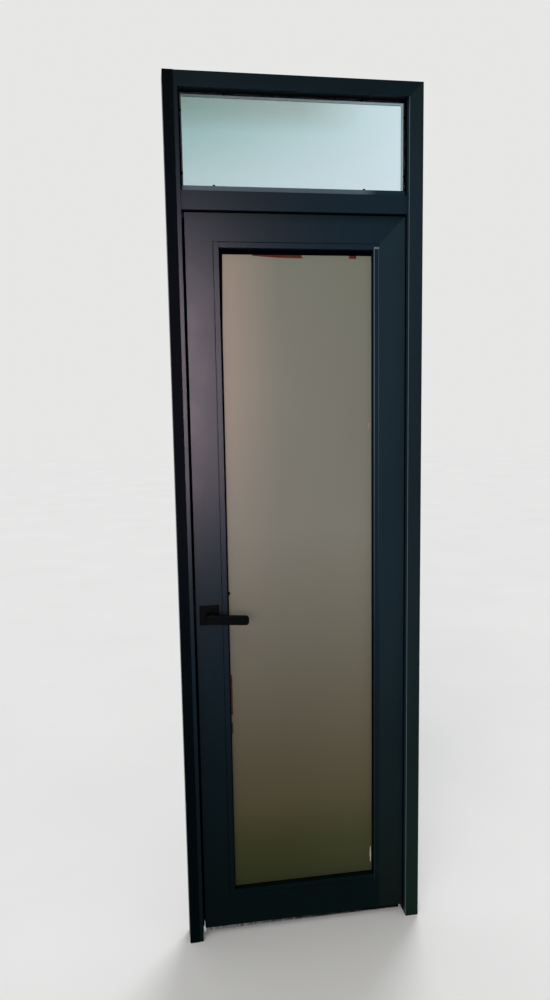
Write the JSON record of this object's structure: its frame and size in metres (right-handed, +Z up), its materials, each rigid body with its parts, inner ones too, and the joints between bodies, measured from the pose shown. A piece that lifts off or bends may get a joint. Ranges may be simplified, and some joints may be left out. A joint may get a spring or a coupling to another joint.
{
  "type": "glazed entrance door with fanlight",
  "caption": "Glazed entrance door in a dark coated aluminium frame: a hinged leaf with a frosted pane, lever handles and a latch, under a fixed clear fanlight.",
  "frame": {"origin": "on the floor, in the middle of the frame's width and of the leaf's thickness", "axes": "+X along the door from the lock side to the hinge side, +Y from the viewer's side to the far side, to which the leaf opens, +Z up"},
  "size_m": [0.715, 0.168, 2.48],
  "materials": {
    "coated_profile": "dark grey powder coat",
    "dark_strip": "near-black coating",
    "mill_aluminium": "mill finish",
    "black_rubber": "matt",
    "grey_stop": "satin",
    "packer_plastic": "matt",
    "frosted_glass": "frosted",
    "clear_glass": "clear",
    "dark_spacer": "dark anodised",
    "brush": "bristle",
    "steel": "zinc plated",
    "coated_hinge": "dark grey powder coat",
    "lever_coating": "black satin"
  },
  "bodies": {
    "frame": {"lock_jamb": "coated_profile", "hinge_jamb": "coated_profile", "head_rail": "coated_profile", "mid_rail": "coated_profile", "frame_corner_cleats": "mill_aluminium", "mid_rail_connectors": "mill_aluminium", "lock_side_cover_strip": "dark_strip", "rebate_seal": "black_rubber", "fanlight_front_gasket": "black_rubber", "fanlight_bottom_stop": "grey_stop", "fanlight_rear_gasket": "black_rubber", "fanlight_inner_pane": "clear_glass", "fanlight_outer_pane": "clear_glass", "fanlight_spacer": "mill_aluminium", "fanlight_bead_top": "coated_profile", "fanlight_bead_bottom": "coated_profile", "fanlight_bead_lock_side": "coated_profile", "fanlight_bead_hinge_side": "coated_profile", "fanlight_packers": "packer_plastic", "strike_plate": "lever_coating", "frame_screws": "steel", "hinge_frame_wing_bottom": "coated_hinge", "hinge_frame_wing_middle": "coated_hinge", "hinge_frame_wing_top": "coated_hinge", "hinge_pins": "steel"},
    "leaf": {"lock_stile": "coated_profile", "hinge_stile": "coated_profile", "leaf_top_rail": "coated_profile", "leaf_bottom_rail": "coated_profile", "leaf_corner_cleats": "mill_aluminium", "bottom_rail_connectors": "mill_aluminium", "leaf_inner_pane": "frosted_glass", "leaf_outer_pane": "clear_glass", "leaf_spacer": "dark_spacer", "leaf_bead_top": "coated_profile", "leaf_bead_bottom": "coated_profile", "leaf_bead_lock_side": "coated_profile", "leaf_bead_hinge_side": "coated_profile", "leaf_front_gasket": "black_rubber", "leaf_rear_gasket": "black_rubber", "leaf_setting_blocks": "packer_plastic", "overlap_seal": "black_rubber", "brush_holder": "mill_aluminium", "brush_strip": "brush", "lock_case": "steel", "faceplate": "lever_coating", "leaf_screws": "steel", "front_rose": "lever_coating", "rear_rose": "lever_coating", "rose_bolts": "steel", "hinge_leaf_wing_bottom": "coated_hinge", "hinge_leaf_wing_middle": "coated_hinge", "hinge_leaf_wing_top": "coated_hinge"},
    "handle": {"front_lever": "lever_coating", "rear_lever": "lever_coating", "spindle": "steel", "lock_follower": "steel"},
    "latch": {"latch_bolt": "steel"}
  },
  "joints": [
    {"name": "leaf_swing", "type": "hinge", "parent": "frame", "child": "leaf", "pos_m": [0.335, 0.036, 0], "axis": [0, 0, -1], "range_deg": [0, 100]},
    {"name": "lever_turn", "type": "hinge", "parent": "leaf", "child": "handle", "pos_m": [-0.2715, 0, 1.006], "axis": [0, 1, 0], "range_deg": [0, 45], "stiffness_Nm_per_rad": 1.2, "springref_deg": -20.05},
    {"name": "latch_slide", "type": "slide", "parent": "leaf", "child": "latch", "axis": [1, 0, 0], "range_m": [0, 0.011]}
  ],
  "couplings": [
    {"joint": "latch_slide", "follows": "lever_turn", "m_per_rad": 0.014}
  ]
}
